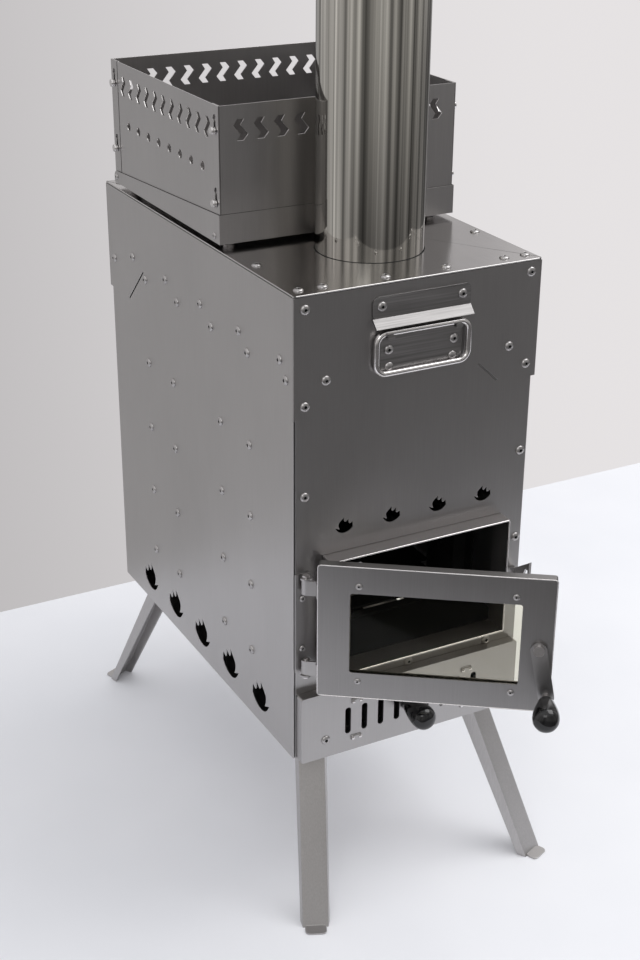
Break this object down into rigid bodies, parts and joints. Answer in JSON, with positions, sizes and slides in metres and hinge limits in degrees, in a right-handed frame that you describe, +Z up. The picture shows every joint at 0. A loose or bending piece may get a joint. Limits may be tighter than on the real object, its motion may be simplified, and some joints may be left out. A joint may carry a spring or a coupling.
{
  "type": "tent wood stove",
  "caption": "Stainless tent wood stove on splayed folding legs, with a glazed door ajar, an air shutter, a bail handle, a stone basket and a length of mirror-bright chimney pipe.",
  "frame": {"origin": "centre of the bounding box's base, on the floor under the feet", "axes": "+X to the stove's right seen from its door, +Y from the door to the back, +Z up along the chimney"},
  "size_m": [0.3212, 0.774, 1.1658],
  "materials": {
    "brushed_sheet": "satin stainless sheet, faint upright grain",
    "mill_sheet": "plain mill stainless sheet",
    "bright_steel": "polished stainless",
    "mirror_pipe": "mirror stainless with upright streaks",
    "sooty_sheet": "sheet dulled by heat and soot",
    "black_grip": "glossy black heat-proof resin",
    "tinted_glass": "clear ceramic glass, slightly olive"
  },
  "bodies": {
    "stove_body": {"front_panel": "brushed_sheet", "left_side_panel": "brushed_sheet", "right_side_panel": "brushed_sheet", "back_panel": "brushed_sheet", "top_plate": "brushed_sheet", "base_plate": "mill_sheet", "flue_socket": "sooty_sheet", "firebox_floor": "sooty_sheet", "baffle_shelf": "sooty_sheet", "air_duct_left_front": "sooty_sheet", "air_duct_left_rear": "sooty_sheet", "air_duct_right_front": "sooty_sheet", "air_duct_right_rear": "sooty_sheet", "door_collar": "brushed_sheet", "hinge_bracket": "mill_sheet", "hinge_pin_upper": "bright_steel", "hinge_pin_lower": "bright_steel", "latch_catch": "mill_sheet", "air_panel": "mill_sheet", "leg_bracket_front_left": "mill_sheet", "leg_bracket_front_right": "mill_sheet", "leg_bracket_rear_left": "mill_sheet", "leg_bracket_rear_right": "mill_sheet", "leg_pin_front_left": "bright_steel", "leg_pin_front_right": "bright_steel", "leg_pin_rear_left": "bright_steel", "leg_pin_rear_right": "bright_steel", "handle_plate_front": "bright_steel", "handle_plate_rear": "bright_steel"},
    "chimney": {"chimney_pipe": "mirror_pipe"},
    "grate_plate": {"grate": "sooty_sheet"},
    "ash_tray": {"ash_pan": "sooty_sheet"},
    "door": {"door_pan": "brushed_sheet", "door_glass": "tinted_glass", "glass_retainer": "mill_sheet", "door_hinge_arm_upper": "mill_sheet", "door_hinge_arm_lower": "mill_sheet", "latch_bolt": "bright_steel"},
    "latch": {"latch_lever": "mill_sheet", "lever_knob": "black_grip"},
    "shutter": {"air_shutter": "sooty_sheet", "shutter_knob": "black_grip"},
    "front_bail": {"handle_bail_front": "bright_steel"},
    "rear_bail": {"handle_bail_rear": "bright_steel"},
    "stone_basket": {"basket_tray": "brushed_sheet", "basket_front_panel": "brushed_sheet", "basket_left_panel": "brushed_sheet", "basket_right_panel": "brushed_sheet", "basket_back_panel": "brushed_sheet"},
    "leg_front_left_body": {"leg_front_left": "mill_sheet"},
    "leg_front_right_body": {"leg_front_right": "mill_sheet"},
    "leg_rear_left_body": {"leg_rear_left": "mill_sheet"},
    "leg_rear_right_body": {"leg_rear_right": "mill_sheet"}
  },
  "joints": [
    {"name": "door_hinge", "type": "hinge", "parent": "stove_body", "child": "door", "pos_m": [-0.1355, -0.1817, 0.36275], "axis": [0, 0, 1], "range_deg": [-80, 35.2]},
    {"name": "latch_pivot", "type": "hinge", "parent": "door", "child": "latch", "pos_m": [0.0547, -0.33277, 0.35975], "axis": [-0.5764, -0.8171, 0], "range_deg": [-11, 79]},
    {"name": "shutter_slide", "type": "slide", "parent": "stove_body", "child": "shutter", "axis": [1, 0, 0], "range_m": [0, 0.0103]},
    {"name": "chimney_lift", "type": "slide", "parent": "stove_body", "child": "chimney", "axis": [0, 0, 1], "range_m": [0, 0.08]},
    {"name": "basket_lift", "type": "slide", "parent": "stove_body", "child": "stone_basket", "axis": [0, 0, 1], "range_m": [0, 0.15]},
    {"name": "grate_lift", "type": "slide", "parent": "stove_body", "child": "grate_plate", "axis": [0, 0, 1], "range_m": [0, 0.12]},
    {"name": "ash_pan_lift", "type": "slide", "parent": "stove_body", "child": "ash_tray", "axis": [0, 0, 1], "range_m": [0, 0.055]},
    {"name": "front_bail_pivot", "type": "hinge", "parent": "stove_body", "child": "front_bail", "pos_m": [0, -0.1765, 0.6675], "axis": [-1, 0, 0], "range_deg": [0, 90]},
    {"name": "rear_bail_pivot", "type": "hinge", "parent": "stove_body", "child": "rear_bail", "pos_m": [0, 0.3321, 0.6675], "axis": [1, 0, 0], "range_deg": [0, 90]},
    {"name": "leg_front_left_fold", "type": "hinge", "parent": "stove_body", "child": "leg_front_left_body", "pos_m": [-0.10633, -0.13884, 0.176], "axis": [0.9135, -0.4067, 0], "range_deg": [0, 112]},
    {"name": "leg_front_right_fold", "type": "hinge", "parent": "stove_body", "child": "leg_front_right_body", "pos_m": [0.10633, -0.13884, 0.176], "axis": [0.9135, 0.4067, 0], "range_deg": [0, 112]},
    {"name": "leg_rear_left_fold", "type": "hinge", "parent": "stove_body", "child": "leg_rear_left_body", "pos_m": [-0.10633, 0.28293, 0.176], "axis": [-0.9135, -0.4067, 0], "range_deg": [0, 112]},
    {"name": "leg_rear_right_fold", "type": "hinge", "parent": "stove_body", "child": "leg_rear_right_body", "pos_m": [0.10633, 0.28293, 0.176], "axis": [-0.9135, 0.4067, 0], "range_deg": [0, 112]}
  ]
}
